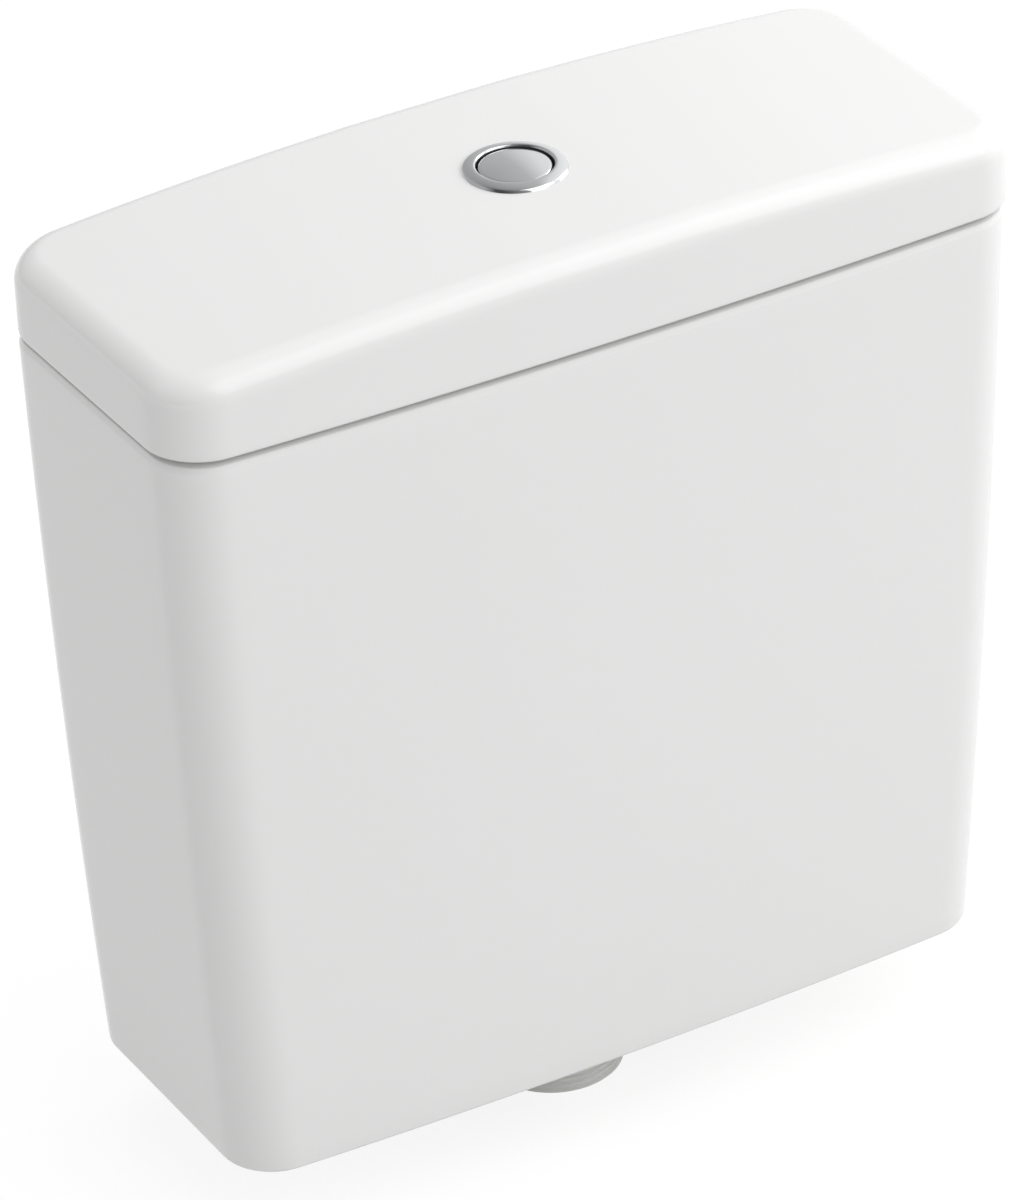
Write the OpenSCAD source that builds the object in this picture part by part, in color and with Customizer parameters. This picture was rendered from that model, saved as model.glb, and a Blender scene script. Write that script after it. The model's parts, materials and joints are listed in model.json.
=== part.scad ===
// Close-coupled ceramic cistern with push-button flush valve and bottom-entry fill valve.
// Millimetres. Origin on the seat plane at the flush outlet axis, +Z up, front towards -Y, wall at +Y.

/* [Tank] */
// width over the rim
tank_w_top = 387.2; // [330:0.2:430]
// width at the seat
tank_w_base = 355.6; // [300:0.2:400]
// depth over the rim at the corners
tank_d_top = 149.1; // [130:0.1:190]
// depth at the seat at the corners
tank_d_base = 139.5; // [125:0.5:180]
// height from the seat to the rim
tank_h = 342.4; // [300:0.2:400]
// straight share of the side taper
side_k = 0.5; // [0:0.05:1]
// straight share of the front taper
front_k = 0.77; // [0:0.05:1]
// bow of the front in plan
front_bow = 5; // [0:0.5:10]
// front corner radius
corner_front = 22.5; // [16:0.5:40]
// rear corner radius
corner_rear = 22; // [16:0.5:40]
// wall thickness
wall = 10; // [8:0.5:12]
// floor thickness
floor_t = 12; // [9:0.5:16]
// depth of the recess under the floor
seat_recess = 8; // [7:0.5:12]
// width of the seat rim round the recess
seat_rim = 16; // [12:0.5:18]
// rounding of the outer rim edge
rim_round = 3.5; // [2:0.25:4]
// outlet axis to the wall side of the tank
rear_y = 77.5; // [70:0.5:84]

/* [Lid] */
// lid overhang past the tank
lid_over = 1.4; // [0.5:0.1:4]
// height of the lid edge
lid_edge_h = 33; // [28:0.5:40]
// rise of the lid in its middle
lid_crown = 9.4; // [2:0.2:14]
// radius of the top edge
lid_round = 11; // [8:0.5:16]
// thickness of the lid top
lid_t = 10; // [8:0.5:12]
// thickness of the pads between lid and rim
lid_gap = 1.6; // [0.6:0.1:2]
// depth of the locating lip
lip_h = 7; // [4:0.5:10]
// thickness of the locating lip
lip_t = 5; // [4:0.5:8]
// play between the lip and the tank wall
lip_gap = 2.6; // [1.5:0.1:5]

/* [Button] */
// outer radius of the bezel
bezel_r = 21.5; // [20.5:0.25:25]
// radius of the button
button_r = 15.25; // [14:0.25:16]
// travel of the button
press = 10; // [8:0.5:11]
// play round the button
button_play = 0.5; // [0.3:0.05:0.5]
// radius of the threaded sleeve
sleeve_r = 18.8; // [18.4:0.1:19.2]
// radius of the hole in the lid
lid_hole_r = 19.6; // [19.4:0.1:20]
// length of the sleeve
sleeve_l = 34; // [30:0.5:38]
// wire radius of the button spring
spring_wire = 0.6; // [0.4:0.05:0.8]
// turns of the button spring
spring_turns = 6; // [4:1:7]
// radius of the push rod
rod_r = 3; // [2.5:0.1:3.5]

/* [Flush valve] */
// outer radius of the threaded tail
tail_r = 29.8; // [28:0.1:30.5]
// bore radius of the tail
tail_bore = 25.5; // [23:0.25:26]
// reach of the tail below the seat plane
tail_l = 38; // [32:1:48]
// radius of the outlet hole in the floor
outlet_hole_r = 32; // [31:0.25:33]
// radius of the flange inside the tank
flange_r = 43; // [42:0.5:46]
// height of the water windows
window_h = 38; // [30:1:50]
// distance of the top plate below the rim
plate_drop = 99.4; // [92:0.2:120]
// radius of the overflow tube
tube_r = 15; // [13:0.25:15.5]
// wall of the overflow tube
tube_wall = 2; // [1.5:0.1:3]
// inner arm of a rocker
arm_in = 20; // [18:0.5:22]
// outer arm of a rocker
arm_out = 16; // [14:0.5:18]
// radius of the rocker pins
pin_r = 2; // [1.5:0.1:2.4]
// outer radius of the flush float
float_r = 29; // [25:0.5:29.5]

/* [Fill valve] */
// distance of the fill valve from the tank side at the seat
fill_side = 39.8; // [37:0.1:42]
// radius of the inlet thread
inlet_r = 10.48; // [10:0.02:11]
// reach of the inlet below the seat plane
inlet_l = 34; // [28:1:45]
// distance of the valve head below the rim
fill_drop = 87.4; // [82:0.2:100]
// float stroke
stroke = 12; // [8:0.5:13]
// room between the flush tower and the float
float_gap = 3.1; // [2:0.1:5]
// width of the float
float_w = 34; // [28:1:35]
// depth of the float
float_d = 80; // [60:1:90]
// height of the float
float_h = 55; // [40:1:60]

/* [Coupling bolts] */
// distance between the bolts
bolt_span = 150; // [146:1:170]
// thread radius below the tank
stud_r = 3.98; // [3.5:0.02:4]
// reach of the bolts below the seat plane
stud_l = 36; // [30:1:50]

/* [Hidden] */
$fn = 48;

// plays and small shared sizes
slip = 0.4;
snug = 0.05;
pin_play = 0.06;
touch_gap = 0.35;
gasket_t = 3;
hub = 26;

// levels
z_rec = seat_recess;
z_floor = z_rec + floor_t;
z_rim = tank_h;
z_lid = z_rim + lid_gap;
lid_w = tank_w_top / 2 + lid_over;
z_seat = z_lid + lid_edge_h + lid_crown * (1 - pow(hub / lid_w, 2));
z_ceil = z_seat - lid_t;

// flush valve levels
z_flange = z_floor + gasket_t;
flange_t = 4;
lip_top = z_flange + flange_t + 4;
seal_t = 3.5;
z_ring = lip_top + window_h;
ring_h = 8;
z_cage = z_ring + ring_h;
z_plate = z_rim - plate_drop;
plate_t = 5;
rock = asin(press / 2 / arm_out);
lift = press * arm_in / arm_out;
tip_r = 2.5;
collar_r = tube_r + 6;
pivot_x = collar_r - 2 + arm_in;
pivot_z = z_plate + arm_in * sin(rock) + tip_r + 2.3;
collar_z = pivot_z - arm_in * sin(rock) + tip_r + touch_gap;
collar_t = 5;
foot_z = pivot_z + arm_out * sin(rock) + tip_r + touch_gap;
tip_x = pivot_x + arm_out;
leg_x = tip_x + tip_r + 1;
leg_t = 3;
tube_top = collar_z + collar_t + 36;
bar_z = tube_top + lift + press + 3.5;
bar_t = 5;
pad_t = 2;
rod_foot_z = bar_z + bar_t + pad_t + touch_gap;
plate_end = leg_x + leg_t + slip + 4;

// button levels, from the bezel seat
rim_up = 2.4;
edge_up = 1.5;
edge_r = 1.6;
dome_r = 80;
skirt_l = 12;
skirt_t = 1.8;
guide_z = z_seat - sleeve_l + 6;
guide_t = 3;
boss_up = 6;
boss_down = 5;
cap_t = 2.5;
stem_r = 4.5;
stem_z = guide_z - guide_t - boss_down - 10;

// fill valve levels
fill_x = tank_w_base / 2 - fill_side;
z_shank = z_floor + gasket_t;
head_z = z_rim - fill_drop;
head_r = 16;
head_h = 28;
pipe_r = 9;
pipe_bore = 5.2;
pipe_top = head_z + 7;
cap_z = head_z + head_h - 6;
cap_top = head_z + head_h + 8;
arm_piv_x = fill_x - 6;
arm_piv_z = cap_top + 10;
float_x = plate_end + float_gap + float_w / 2;
float_arm_l = arm_piv_x - float_x;
swing = asin(stroke / 2 / float_arm_l);
screw_r = 2.5;
fork_z = arm_piv_z - float_arm_l * sin(swing);
fork_half = 2 * cos(swing) + 5 * sin(swing) + touch_gap;
float_top = fork_z - 36;
tail_reach = 12;
nozzle_top = arm_piv_z - tail_reach * sin(swing) - 2 * cos(swing) - 2 * sin(swing) - touch_gap;
spout_y = head_r + 6;

// plan outline of the ceramic
arc_steps = [0, 18, 35, 50, 63, 74, 83, 90];
function half_x(w, rm) = concat([hub],
  [for (f = [0.3, 0.55, 0.78]) hub + (w - rm - hub) * f],
  [for (a = arc_steps) w - rm + rm * sin(a)]);
function stations(w, rm) = let (h = half_x(w, rm), n = len(h))
  concat([for (i = [n - 1:-1:0]) -h[i]], h);
function bowed(y, x, w, yf, yr, bow) = y - bow * (yr - y) / (yr - yf) * (1 - pow(x / w, 2));
function front_y(x, w, yf, r) = abs(x) <= w - r ? yf
  : yf + r - sqrt(max(0, r * r - pow(abs(x) - (w - r), 2)));
function back_y(x, w, yr, r) = abs(x) <= w - r ? yr
  : yr - r + sqrt(max(0, r * r - pow(abs(x) - (w - r), 2)));
function plan(w, yf, yr, bow, rf, rr) = let (s = stations(w, max(rf, rr)), n = len(s))
  concat([for (x = s) [x, bowed(front_y(x, w, yf, rf), x, w, yf, yr, bow)]],
    [for (i = [n - 1:-1:0]) let (x = s[i]) [x, bowed(back_y(x, w, yr, rr), x, w, yf, yr, bow)]]);

// one ring of the tank skin at a height, drawn in by an inset
function tank_half(d) = (tank_w_top - (tank_w_top - tank_w_base) * (side_k * d + (1 - side_k) * d * d)) / 2;
function tank_deep(d) = tank_d_top - (tank_d_top - tank_d_base) * (front_k * d + (1 - front_k) * d * d);
function tank_ring(z, inset, at = -1) = let (d = 1 - max(0, at < 0 ? z : at) / tank_h,
    p = plan(tank_half(d) - inset, rear_y - tank_deep(d) + inset, rear_y - inset, front_bow,
      max(corner_front - inset, 8), max(corner_rear - inset, 8)))
  [for (q = p) [q[0], q[1], z]];

// one ring of the lid skin above the lid's lower edge, with its share of the crown
function lid_ring(z, inset, share) = let (
    p = plan(lid_w - inset, rear_y - tank_d_top - lid_over + inset, rear_y - inset, front_bow,
      max(corner_front + lid_over - inset, 6), max(corner_rear + lid_over + 3 - inset, 6)))
  [for (q = p) [q[0], q[1], z_lid + z + share * lid_crown * (1 - pow(q[0] / lid_w, 2))]];

// closed skin through a list of rings, from a lower cap to an upper cap
module skin(rings) {
  n = len(rings[0]);
  m = len(rings);
  half = n / 2;
  last = (m - 1) * n;
  polyhedron(points = [for (r = rings) for (p = r) p],
    faces = concat(
      [for (i = [0:half - 2]) [i, i + 1, n - 2 - i, n - 1 - i]],
      [for (i = [0:half - 2]) [last + n - 1 - i, last + n - 2 - i, last + i + 1, last + i]],
      [for (k = [0:m - 2]) for (i = [0:n - 1]) let (j = (i + 1) % n)
        [(k + 1) * n + i, (k + 1) * n + j, k * n + j]],
      [for (k = [0:m - 2]) for (i = [0:n - 1]) let (j = (i + 1) % n)
        [(k + 1) * n + i, k * n + j, k * n + i]]),
    convexity = 10);
}

// ring and tube shorthand
module ring(r1, r2, z1, z2) {
  translate([0, 0, z1]) difference() {
    cylinder(r = r2, h = z2 - z1);
    translate([0, 0, -1]) cylinder(r = r1, h = z2 - z1 + 2);
  }
}
module box(x1, x2, y1, y2, z1, z2) {
  translate([x1, y1, z1]) cube([x2 - x1, y2 - y1, z2 - z1]);
}
module rod_y(x, z, r, half) {
  translate([x, half, z]) rotate([90, 0, 0]) cylinder(r = r, h = 2 * half);
}
module both() {
  children();
  mirror([1, 0, 0]) children();
}

// ceramic tank: seat rim, recess, bowed skin, rolled rim, inner wall and floor
fillet = 9;
module cistern_tank() {
  color([0.93, 0.93, 0.92]) difference() {
    skin(concat(
      [tank_ring(z_rec, seat_rim + 1, 0), tank_ring(0, seat_rim), tank_ring(0, 2.2), tank_ring(0.7, 0.7),
        tank_ring(2.4, 0)],
      [for (t = [0.08, 0.18, 0.3, 0.43, 0.57, 0.71, 0.85]) tank_ring(t * tank_h, 0)],
      [tank_ring(z_rim - rim_round, 0), tank_ring(z_rim - 0.62 * rim_round, 0.08 * rim_round),
        tank_ring(z_rim - 0.29 * rim_round, 0.29 * rim_round),
        tank_ring(z_rim - 0.08 * rim_round, 0.62 * rim_round), tank_ring(z_rim, rim_round),
        tank_ring(z_rim, wall - 2), tank_ring(z_rim - 0.6, wall - 0.6), tank_ring(z_rim - 2, wall)],
      [for (t = [0.8, 0.55, 0.3]) tank_ring(t * tank_h, wall)],
      [tank_ring(z_floor + fillet, wall), tank_ring(z_floor + 0.29 * fillet, wall + 0.29 * fillet),
        tank_ring(z_floor, wall + fillet)]));
    translate([0, 0, z_rec - 1]) cylinder(r = outlet_hole_r, h = floor_t + 2);
    translate([fill_x, 0, z_rec - 1]) cylinder(r = inlet_r + 1.2, h = floor_t + 2);
    both() translate([bolt_span / 2, 0, z_rec - 1]) cylinder(r = 5.5, h = floor_t + 2);
  }
}

// ceramic lid: hollow under a crowned top, locating lip inside the rim, button hole
lip_in = lid_over + wall + lip_gap;
lid_wall = lip_in + lip_t;
module cistern_lid() {
  eh = lid_edge_h;
  color([0.93, 0.93, 0.92]) difference() {
    skin(concat(
      [lid_ring(eh - lid_t, lid_wall + 8, 1), lid_ring(eh - lid_t - 2.4, lid_wall + 2.4, 0.8),
        lid_ring(eh - lid_t - 8, lid_wall, 0.5), lid_ring(1.5 - lip_h, lid_wall, 0),
        lid_ring(-lip_h, lid_wall - 1.2, 0), lid_ring(-lip_h, lip_in + 1.2, 0),
        lid_ring(1.2 - lip_h, lip_in, 0), lid_ring(0, lip_in, 0), lid_ring(0, 1.6, 0),
        lid_ring(0.5, 0.5, 0),
        lid_ring(1.6, 0, 0), lid_ring((eh - lid_round) / 2, 0, 0.5)],
      [for (a = [0, 18, 36, 54, 72, 90])
        lid_ring(eh - lid_round * (1 - sin(a)), lid_round * (1 - cos(a)), 1)]));
    translate([0, 0, z_ceil - 5]) cylinder(r = lid_hole_r, h = lid_t + 10);
  }
}

// four soft pads between rim and lid
pad_in = (rim_round + wall - 2) / 2;
pad_x = 0.62 * tank_w_top / 2;
module lid_pads() {
  front = rear_y - tank_d_top - front_bow * (1 - pow(pad_x / (tank_w_top / 2), 2)) + pad_in;
  color([0.85, 0.85, 0.83]) both() {
    box(pad_x - 7, pad_x + 7, rear_y - pad_in - 1.7, rear_y - pad_in + 1.7, z_rim, z_lid);
    box(pad_x - 7, pad_x + 7, front - 1.5, front + 1.5, z_rim, z_lid);
  }
}

// plated bezel ring on its threaded sleeve
bore_r = button_r + button_play;
module button_bezel() {
  color([0.75, 0.76, 0.78]) translate([0, 0, z_seat]) rotate_extrude()
    polygon([[bore_r, rim_up - 1], [bore_r + 0.3, rim_up - 0.2], [bore_r + 0.95, rim_up],
      [bore_r + 3, rim_up - 0.36], [bezel_r - 0.95, rim_up - 0.98], [bezel_r - 0.25, rim_up - 1.5],
      [bezel_r, 0.3], [bezel_r, 0], [sleeve_r, 0], [sleeve_r, -sleeve_l], [sleeve_r - 1.5, -sleeve_l],
      [sleeve_r - 1.5, 6 - sleeve_l], [bore_r, 6 - sleeve_l]]);
}

// guide disc pressed up into the sleeve
module button_guide() {
  color([0.9, 0.9, 0.9]) difference() {
    union() {
      translate([0, 0, guide_z - guide_t]) cylinder(r = sleeve_r - 1.5 - snug, h = guide_t);
      translate([0, 0, guide_z - guide_t - boss_down]) cylinder(r = 7, h = boss_up + guide_t + boss_down);
    }
    translate([0, 0, guide_z - guide_t - boss_down - 1])
      cylinder(r = stem_r + slip, h = boss_up + guide_t + boss_down + 2);
  }
}

// domed button with a rounded shoulder, skirt and hollow stem
module push_button() {
  flat_r = (button_r - edge_r) / (1 - edge_r / dome_r);
  slope = asin(flat_r / dome_r);
  top = z_seat + edge_up;
  under = top - cap_t;
  hollow = stem_z + 20;
  function dome_z(r) = top + sqrt(dome_r * dome_r - r * r) - dome_r * cos(slope);
  color([0.78, 0.79, 0.81]) rotate_extrude() polygon(concat(
    [for (k = [0:6]) [flat_r * k / 6, dome_z(flat_r * max(k, 1) / 6)]],
    [for (k = [1:5]) let (a = (90 - slope) * (1 - k / 5))
      [button_r - edge_r + edge_r * cos(a), top + edge_r * (sin(a) - cos(slope))]],
    [[button_r, top - skirt_l], [button_r - skirt_t, top - skirt_l], [button_r - skirt_t, under],
      [stem_r, under], [stem_r, stem_z], [rod_r + snug, stem_z], [rod_r + snug, hollow], [0, hollow]]));
}

// return spring: a swept wire with closed flat ends
spring_r = 10;
spring_z0 = guide_z + spring_wire + 0.1;
spring_z1 = z_seat + edge_up - cap_t - spring_wire - 0.1;
spring_steps = spring_turns * 8;
spring_pitch = (spring_z1 - spring_z0) / spring_turns;
echo(least_gap_between_curls = spring_pitch - 2 * spring_wire,
  least_gap_pressed = (spring_z1 - spring_z0 - press) / spring_turns - 2 * spring_wire);
function coil_point(k, s) = let (a = 45 * k, b = 60 * s,
    r = spring_r + spring_wire * cos(b), z = spring_z0 + (spring_z1 - spring_z0) * k / spring_steps)
  [r * cos(a), r * sin(a), z + spring_wire * sin(b)];
module button_spring() {
  n = spring_steps;
  color([0.6, 0.6, 0.62]) polyhedron(
    points = [for (k = [0:n]) for (s = [0:5]) coil_point(k, s)],
    faces = concat(
      [for (k = [0:n - 1]) for (s = [0:5]) let (t = (s + 1) % 6) [k * 6 + s, (k + 1) * 6 + s, k * 6 + t]],
      [for (k = [0:n - 1]) for (s = [0:5]) let (t = (s + 1) % 6)
        [k * 6 + t, (k + 1) * 6 + s, (k + 1) * 6 + t]],
      [[for (s = [0:5]) s]],
      [[for (s = [5:-1:0]) n * 6 + s]]),
    convexity = 12);
}

// push-on clip that stops the stem under the guide
module stem_clip() {
  z = guide_z - guide_t - boss_down - touch_gap;
  color([0.55, 0.56, 0.58]) ring(stem_r + 0.03, stem_r + 2.6, z - 1.2, z);
}

// adjustable push rod with its foot
module push_rod() {
  color([0.9, 0.9, 0.88]) {
    translate([0, 0, rod_foot_z + 2]) cylinder(r = rod_r, h = stem_z + 18 - rod_foot_z - 2);
    translate([0, 0, rod_foot_z]) cylinder(r1 = 6, r2 = 7, h = 1);
    translate([0, 0, rod_foot_z + 1]) cylinder(r = 7, h = 3);
  }
}
module rod_locknut() {
  color([0.15, 0.35, 0.65]) difference() {
    translate([0, 0, stem_z - 5]) cylinder(r = rod_r + 3.4, h = 5, $fn = 6);
    translate([0, 0, stem_z - 6]) cylinder(r = rod_r + snug, h = 7);
  }
}

// gasket and nut that clamp the sleeve under the lid
nut_z = z_ceil - 2;
module bezel_gasket() {
  color([0.12, 0.12, 0.12]) ring(sleeve_r + 0.2, sleeve_r + 7, nut_z, z_ceil);
}
module bezel_nut() {
  color([0.88, 0.88, 0.86]) difference() {
    union() {
      translate([0, 0, nut_z - 9]) cylinder(r = sleeve_r + 5, h = 9);
      translate([0, 0, nut_z - 2.5]) cylinder(r = sleeve_r + 7, h = 2.5);
      for (a = [0:45:315]) rotate([0, 0, a])
        box(sleeve_r + 3, sleeve_r + 7, -2.2, 2.2, nut_z - 8, nut_z - 1);
    }
    translate([0, 0, nut_z - 10]) cylinder(r = sleeve_r + snug, h = 11);
  }
}

// flush valve base: threaded tail with a relief groove, flange and raised seat
backnut_t = 13;
soft_low = z_rec - backnut_t - 12;
cage_in = flange_r - 9;
cage_out = flange_r - 2;
module valve_base() {
  color([0.9, 0.9, 0.9]) difference() {
    union() {
      translate([0, 0, 1 - tail_l]) cylinder(r = tail_r, h = z_flange + tail_l);
      translate([0, 0, -tail_l]) cylinder(r1 = tail_r - 1, r2 = tail_r, h = 1);
      translate([0, 0, z_flange]) cylinder(r = flange_r, h = flange_t);
      translate([0, 0, z_flange + flange_t]) cylinder(r1 = tail_r + 1, r2 = tail_r - 1, h = 4);
    }
    translate([0, 0, -tail_l - 1]) cylinder(r = tail_bore, h = lip_top + tail_l + 2);
    ring(tail_r - 0.8, tail_r + 2, soft_low - 2.2, soft_low - 1);
  }
}

// window cage on the flange: foot ring, four legs and lock ring
module window_cage() {
  color([0.9, 0.9, 0.9]) {
    ring(cage_in, cage_out, z_flange + flange_t, z_flange + flange_t + 3);
    for (a = [45:90:315]) rotate([0, 0, a])
      box(cage_in + 0.5, cage_out - 1, -7, 7, z_flange + flange_t + 1, z_ring + 1);
    ring(cage_in, cage_out, z_ring, z_cage);
  }
}
module base_washer() {
  color([0.13, 0.13, 0.13]) ring(tail_r + 0.3, flange_r + 1, z_floor, z_flange);
}

// backnut under the floor and the soft ring round it
lug_r = tail_r + 10.5;
module base_backnut() {
  color([0.85, 0.85, 0.83]) difference() {
    union() {
      translate([0, 0, z_rec - backnut_t]) cylinder(r = tail_r + 7, h = backnut_t);
      for (a = [0:45:315]) rotate([0, 0, a])
        box(tail_r + 5, lug_r, -4, 4, z_rec - backnut_t + 1, z_rec - 2);
    }
    translate([0, 0, z_rec - backnut_t - 1]) cylinder(r = tail_r + snug, h = backnut_t + 2);
  }
}
module coupling_washer() {
  pocket = lug_r + 1.2;
  color([0.1, 0.1, 0.1]) rotate_extrude()
    polygon([[pocket, z_rec], [pocket + 5.5, z_rec], [pocket + 5.5, z_rec - 14], [pocket - 1, soft_low],
      [tail_r + 0.3, soft_low], [tail_r + 0.3, z_rec - backnut_t], [pocket, z_rec - backnut_t]]);
}

// tower: lock ring, two posts, brace ring, top plate with ears and leg slots
post_in = float_r + 2.5;
post_out = cage_out - 4;
module valve_tower() {
  color([0.82, 0.85, 0.88]) difference() {
    union() {
      ring(post_in - 0.5, cage_out, z_cage, z_cage + 8);
      both() box(post_in, post_out, -9, 9, z_cage + 4, z_plate - plate_t + 1);
      ring(post_in - 1, post_out, z_plate - 46, z_plate - 41);
      translate([0, 0, z_plate - plate_t]) cylinder(r = tube_r + 12, h = plate_t);
      box(-plate_end, plate_end, -11, 11, z_plate - plate_t, z_plate);
      both() {
        box(pivot_x - 4.5, pivot_x + 4.5, 5 + slip, 9, z_plate - 1, pivot_z + 4.5);
        box(pivot_x - 4.5, pivot_x + 4.5, -9, -5 - slip, z_plate - 1, pivot_z + 4.5);
      }
    }
    translate([0, 0, z_plate - plate_t - 1]) cylinder(r = tube_r + slip, h = plate_t + 2);
    both() {
      box(leg_x - 0.3, leg_x + leg_t + 0.3, -leg_half - 0.3, leg_half + 0.3,
        z_plate - plate_t - 1, z_plate + 1);
      rod_y(pivot_x, pivot_z, pin_r + 0.01, 12);
    }
  }
}

// lifting parts: overflow tube, seal carrier, seal, retainer with guide fins, float and collar
tube_low = lip_top - 6;
carrier_t = 3.5;
carrier_h = 9;
module overflow_tube() {
  color([0.2, 0.45, 0.75]) ring(tube_r - tube_wall, tube_r, tube_low, tube_top);
}
module seal_carrier() {
  color([0.2, 0.45, 0.75]) translate([0, 0, lip_top + seal_t]) difference() {
    union() {
      cylinder(r = tail_r + 1.2, h = carrier_t);
      translate([0, 0, carrier_t]) cylinder(r1 = tail_r - 4, r2 = tube_r + 2.5, h = carrier_h);
    }
    translate([0, 0, -1]) cylinder(r = tube_r + snug, h = carrier_t + carrier_h + 2);
  }
}
module flush_seal() {
  color([0.75, 0.2, 0.15]) ring(tube_r + snug, cage_in - 1.2, lip_top, lip_top + seal_t);
}
module seal_retainer() {
  color([0.2, 0.45, 0.75]) difference() {
    union() {
      translate([0, 0, tube_low]) cylinder(r = tail_bore - 2, h = 6);
      translate([0, 0, tube_low - 20]) cylinder(r = tube_r + 3, h = 22);
      for (a = [30:120:270]) rotate([0, 0, a])
        box(tube_r + 1, tail_bore - 0.9, -1.5, 1.5, tube_low - 19, tube_low + 1);
    }
    translate([0, 0, tube_low - 21]) cylinder(r = tube_r + snug, h = 30);
  }
}
float_drop = 112;
flush_float_h = 46;
float_chamfer = 4;
float_skin = 2.5;
float_z = z_plate - float_drop;
module flush_float() {
  color([0.92, 0.92, 0.9]) difference() {
    rotate_extrude() polygon([[tube_r + snug, float_z], [float_r - 2, float_z], [float_r, float_z + 2],
      [float_r, float_z + flush_float_h - float_chamfer],
      [float_r - float_chamfer, float_z + flush_float_h],
      [tube_r + snug, float_z + flush_float_h]]);
    translate([0, 0, float_z - 1])
      ring(tube_r + float_skin + 0.5, float_r - float_skin, 0, flush_float_h / 3);
  }
}
module lift_collar() {
  color([0.85, 0.25, 0.15]) ring(tube_r + snug, collar_r, collar_z, collar_z + collar_t);
  color([0.85, 0.25, 0.15]) ring(tube_r + snug, tube_r + 3, collar_z + collar_t, collar_z + collar_t + 8);
}

// a rocker lies tilted at rest: inner tip under the collar, outer tip under the bridge foot
module rocker() {
  translate([pivot_x, 0, pivot_z]) rotate([0, -rock, 0]) difference() {
    union() {
      box(-arm_in, arm_out, -5, 5, -1.6, 1.6);
      rod_y(-arm_in, 0, tip_r, 5);
      rod_y(arm_out, 0, tip_r, 5);
      rod_y(0, 0, pin_r + 2.4, 5);
    }
    rod_y(0, 0, pin_r + pin_play, 6);
  }
}
module rocker_right() {
  color([0.95, 0.75, 0.15]) rocker();
}
module rocker_left() {
  color([0.95, 0.75, 0.15]) mirror([1, 0, 0]) rocker();
}
module rocker_pins() {
  color([0.7, 0.7, 0.72]) both() rod_y(pivot_x, pivot_z, pin_r, 10.5);
}

// bridge: bar under the push rod, two legs through the plate slots, feet on the rockers
bar_half = 8;
leg_half = 7;
foot_half = 6;
foot_t = 4;
leg_reach = 18;
bridge_pad_r = 10;
module press_bridge() {
  color([0.92, 0.92, 0.9]) {
    box(-leg_x - leg_t, leg_x + leg_t, -bar_half, bar_half, bar_z, bar_z + bar_t);
    translate([0, 0, bar_z + bar_t - 1]) cylinder(r = bridge_pad_r, h = pad_t + 1);
    both() {
      box(leg_x, leg_x + leg_t, -leg_half, leg_half, z_plate - leg_reach, bar_z + 1);
      box(tip_x - tip_r - 0.5, leg_x + 1, -foot_half, foot_half, foot_z, foot_z + foot_t);
      box(leg_x - leg_t, leg_x + 1, -leg_t / 2, leg_t / 2, foot_z + foot_t - 1, bar_z + 1);
    }
  }
}

// fill valve: shank with a relief groove, flange and standpipe in one
nut_t = 9;
nut_r = 15.6;
shank_r = 17;
shank_t = 5;
module fill_standpipe() {
  color([0.9, 0.9, 0.9]) translate([fill_x, 0, 0]) difference() {
    union() {
      translate([0, 0, 1 - inlet_l]) cylinder(r = inlet_r, h = z_shank + inlet_l);
      translate([0, 0, -inlet_l]) cylinder(r1 = inlet_r - 1, r2 = inlet_r, h = 1);
      translate([0, 0, z_shank]) cylinder(r = shank_r, h = shank_t);
      translate([0, 0, z_shank + shank_t]) cylinder(r = shank_r - 2, h = shank_t + 1, $fn = 6);
      translate([0, 0, z_shank + shank_t - 1]) cylinder(r = pipe_r, h = pipe_top - z_shank - shank_t + 1);
    }
    translate([0, 0, -inlet_l - 1]) cylinder(r = pipe_bore, h = pipe_top + inlet_l + 2);
    ring(inlet_r - 0.8, inlet_r + 2, z_rec - nut_t - 2.2, z_rec - nut_t - 1);
  }
}
module inlet_washer() {
  color([0.13, 0.13, 0.13]) translate([fill_x, 0, 0])
    ring(inlet_r + 0.2, shank_r + 1, z_floor, z_shank);
}
module inlet_backnut() {
  color([0.8, 0.66, 0.35]) translate([fill_x, 0, 0]) difference() {
    union() {
      translate([0, 0, z_rec - nut_t]) cylinder(r = nut_r, h = nut_t, $fn = 6);
      translate([0, 0, z_rec - 2]) cylinder(r = nut_r + 1.4, h = 2);
    }
    translate([0, 0, z_rec - nut_t - 1]) cylinder(r = inlet_r + snug, h = nut_t + 2);
  }
}
module inlet_filter() {
  color([0.3, 0.55, 0.8]) translate([fill_x, 0, 0]) difference() {
    translate([0, 0, 4 - inlet_l]) cylinder(r = pipe_bore - snug, h = 20);
    translate([0, 0, 3 - inlet_l]) cylinder(r = 3.6, h = 19);
    for (z = [8, 13, 18]) for (a = [0, 60, 120]) translate([0, 0, z - inlet_l])
      rotate([0, 0, a]) rod_y(0, 0, 1.2, 8);
  }
}

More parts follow.
